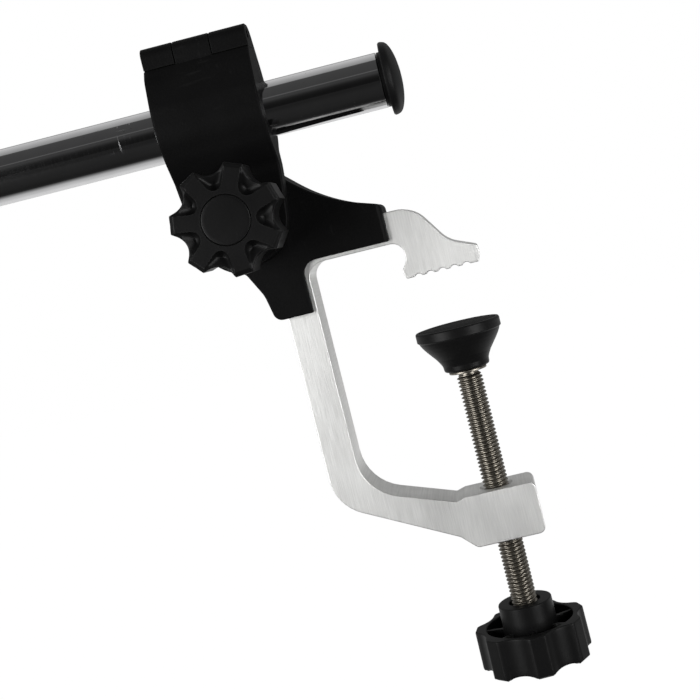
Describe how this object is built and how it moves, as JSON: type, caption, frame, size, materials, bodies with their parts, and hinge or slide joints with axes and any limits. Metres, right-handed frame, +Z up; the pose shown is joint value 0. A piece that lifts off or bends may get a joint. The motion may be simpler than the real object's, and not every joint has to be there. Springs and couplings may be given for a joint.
{
  "type": "table clamp stand with tube holder",
  "caption": "Aluminium table clamp with a screw and swivel foot; a pivoting hinged holder, locked by a star knob, grips a bright round tube.",
  "frame": {"origin": "on the clamp screw's axis, in the plane of the jaw's tooth crests, half way through the frame's depth", "axes": "+X along the jaw and the tube towards the jaw's open side, +Y from the front knob towards the back, +Z up along the clamp screw"},
  "size_m": [0.3128, 0.0697, 0.2581],
  "materials": {
    "aluminium": "fine brushed, bright silver",
    "black_plastic": "satin moulded black with a fine grain",
    "knob_plastic": "smooth satin black",
    "cap_plastic": "soft satin dark grey",
    "stainless_steel": "rolled stainless thread, warm grey",
    "chrome": "mirror-like plated tube",
    "brass": "turned",
    "rubber": "matte black",
    "grey_fibre": "plain grey"
  },
  "bodies": {
    "frame": {"clamp_frame": "aluminium", "bracket_front_shell": "black_plastic", "bracket_rear_shell": "black_plastic", "bracket_screw_1": "stainless_steel", "bracket_screw_2": "stainless_steel", "bracket_screw_3": "stainless_steel", "pivot_bolt": "stainless_steel", "friction_disc": "grey_fibre"},
    "feed": {"thrust_washer": "stainless_steel"},
    "screw": {"spindle": "stainless_steel", "lower_knob": "knob_plastic", "lower_knob_insert": "brass", "lower_knob_cap": "knob_plastic"},
    "seat": {"foot_seat": "grey_fibre"},
    "foot": {"foot_cup": "knob_plastic", "foot_pad": "rubber", "foot_retaining_plate": "stainless_steel"},
    "holder": {"holder_rear_shell": "black_plastic", "hinge_pin": "stainless_steel"},
    "front_shell": {"holder_front_shell": "black_plastic"},
    "knob_washer": {"front_knob_washer": "stainless_steel"},
    "front_knob": {"front_knob": "knob_plastic", "front_knob_insert": "brass", "front_knob_cap": "knob_plastic"},
    "tube_carriage": {"far_end_cap": "cap_plastic"},
    "tube": {"tube": "chrome", "near_end_cap": "cap_plastic"}
  },
  "joints": [
    {"name": "screw_feed", "type": "slide", "parent": "frame", "child": "feed", "axis": [0, 0, 1], "range_m": [-0.0436, 0.0183]},
    {"name": "spindle_turn", "type": "hinge", "parent": "feed", "child": "screw", "pos_m": [0, 0, -0.031], "axis": [0, 0, 1], "range_deg": [-10470, 4400]},
    {"name": "foot_tilt_x", "type": "hinge", "parent": "feed", "child": "seat", "pos_m": [0, 0, -0.031], "axis": [1, 0, 0], "range_deg": [-5, 5]},
    {"name": "foot_tilt_y", "type": "hinge", "parent": "seat", "child": "foot", "pos_m": [0, 0, -0.031], "axis": [0, 1, 0], "range_deg": [-5, 5]},
    {"name": "holder_pivot", "type": "hinge", "parent": "frame", "child": "holder", "pos_m": [-0.0666, 0, 0.0357], "axis": [0, 1, 0], "range_deg": [-95, 30]},
    {"name": "shell_open", "type": "hinge", "parent": "holder", "child": "front_shell", "pos_m": [-0.0666, -0.0228, 0.0995], "axis": [-1, 0, 0], "range_deg": [0, 1.95]},
    {"name": "knob_feed", "type": "slide", "parent": "frame", "child": "knob_washer", "axis": [0, -1, 0], "range_m": [0, 0.00255]},
    {"name": "knob_turn", "type": "hinge", "parent": "knob_washer", "child": "front_knob", "pos_m": [-0.0666, -0.0247, 0.0357], "axis": [0, -1, 0], "range_deg": [0, 720]},
    {"name": "tube_slide", "type": "slide", "parent": "holder", "child": "tube_carriage", "axis": [1, 0, 0], "range_m": [-0.0425, 0.1975]},
    {"name": "tube_spin", "type": "hinge", "parent": "tube_carriage", "child": "tube", "pos_m": [-0.0045, -0.02, 0.072], "axis": [1, 0, 0], "continuous": true}
  ],
  "couplings": [
    {"joint": "spindle_turn", "follows": "screw_feed", "rad_per_m": 4188.8},
    {"joint": "knob_feed", "follows": "knob_turn", "m_per_rad": 0.00019894},
    {"joint": "shell_open", "follows": "knob_turn", "ratio": 0.0026389}
  ]
}
